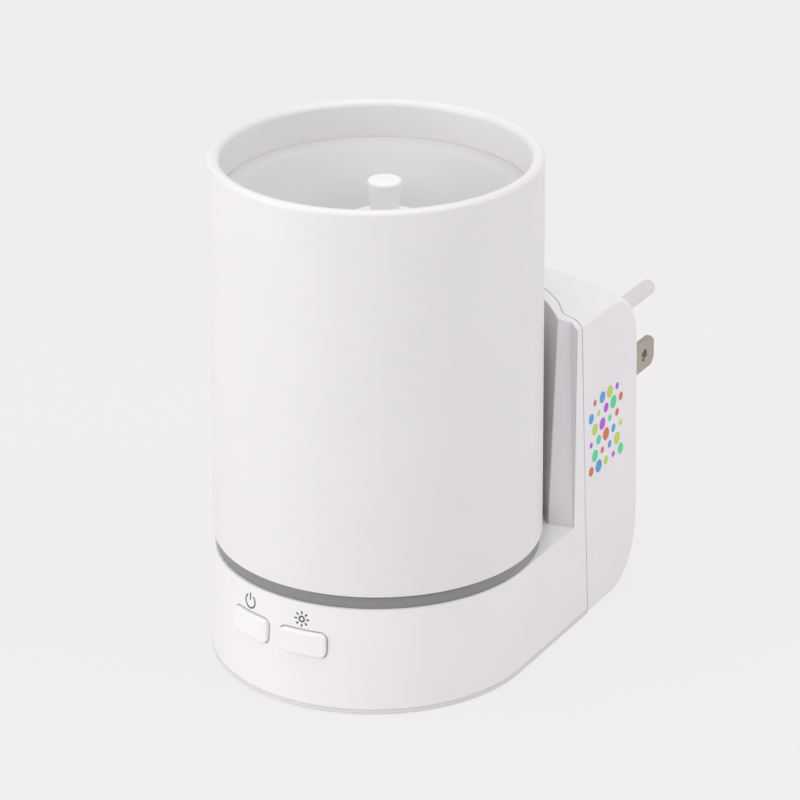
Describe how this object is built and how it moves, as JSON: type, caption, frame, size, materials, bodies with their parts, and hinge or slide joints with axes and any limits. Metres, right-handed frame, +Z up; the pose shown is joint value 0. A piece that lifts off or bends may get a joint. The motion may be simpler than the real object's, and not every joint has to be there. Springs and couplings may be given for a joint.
{
  "type": "plug-in wax melt warmer",
  "caption": "Wall plug-in wax warmer: tall cylindrical shade with a lift-out wax dish, on a D-shaped base with push buttons and a rear riser that carries the wall plug.",
  "frame": {"origin": "on the axis of the shade, in the plane of the base's underside", "axes": "+Z up along the shade's axis, +Y towards the wall along the plug's blades, +X to the right of someone who faces the wall"},
  "size_m": [0.0808, 0.14, 0.1277],
  "materials": {
    "shell_white": "fine satin moulded white",
    "shade_white": "smooth satin white",
    "ring_grey": "frosted dark grey",
    "dish_coat": "pressed aluminium with a pale smooth coat",
    "post_white": "satin white",
    "button_white": "satin white",
    "carrier_grey": "moulded pale grey, heat resistant",
    "contact_metal": "nickel plated brass, lightly brushed",
    "pin_grey": "moulded pale grey",
    "board_green": "glass-fibre board with green lacquer",
    "board_white": "glass-fibre board with white lacquer",
    "core_iron": "laminated core and wound coil",
    "part_black": "moulded black electronic part",
    "plunger_black": "moulded black",
    "lamp_lens": "clear resin over a pale yellow phosphor",
    "lead_white": "silicone insulation",
    "lead_black": "insulated stranded lead",
    "heater_metal": "turned aluminium plate",
    "element_dark": "sintered heating block",
    "pad_fibre": "pressed ceramic fibre",
    "pan_steel": "pressed zinc plated sheet",
    "column_beige": "heat-resistant moulded resin",
    "cutout_metal": "tinned can",
    "rivet_metal": "domed rivet",
    "screw_steel": "zinc plated steel"
  },
  "bodies": {
    "warmer": {"base_housing": "shell_white", "bottom_plate": "shell_white", "rear_cover": "shell_white", "plug_carrier": "carrier_grey", "blade_live": "contact_metal", "blade_neutral": "contact_metal", "earth_pin": "pin_grey", "shade": "shade_white", "accent_ring": "ring_grey", "heater_plate": "heater_metal", "heater_element": "element_dark", "insulation_pad": "pad_fibre", "heater_pan": "pan_steel", "pan_rivets": "rivet_metal", "thermal_cutout": "cutout_metal", "heater_column": "column_beige", "lamp_board": "board_white", "lamps": "lamp_lens", "power_switch": "part_black", "light_switch": "part_black", "control_board": "board_green", "control_chip": "part_black", "power_board": "board_green", "transformer": "core_iron", "capacitors": "part_black", "heater_leads": "lead_white", "mains_leads": "lead_black", "control_ribbon": "lead_black", "lamp_leads": "lead_white", "shade_screws": "screw_steel", "column_screws": "screw_steel", "lamp_board_screws": "screw_steel", "control_board_screws": "screw_steel", "power_board_screws": "screw_steel", "plate_screws": "screw_steel", "cover_screws": "screw_steel"},
    "power_button": {"power_button": "button_white", "power_plunger": "plunger_black"},
    "light_button": {"light_button": "button_white", "light_plunger": "plunger_black"},
    "wax_dish": {"wax_dish": "dish_coat", "dish_post": "post_white"}
  },
  "joints": [
    {"name": "power_press", "type": "slide", "parent": "warmer", "child": "power_button", "axis": [0.3322, 0.9432, 0], "range_m": [0, 0.0006], "stiffness_N_per_m": 500, "springref_m": -0.0005},
    {"name": "light_press", "type": "slide", "parent": "warmer", "child": "light_button", "axis": [-0.0593, 0.9982, 0], "range_m": [0, 0.0006], "stiffness_N_per_m": 500, "springref_m": -0.0005},
    {"name": "dish_lift", "type": "slide", "parent": "warmer", "child": "wax_dish", "axis": [0, 0, 1], "range_m": [0, 0.03]}
  ]
}
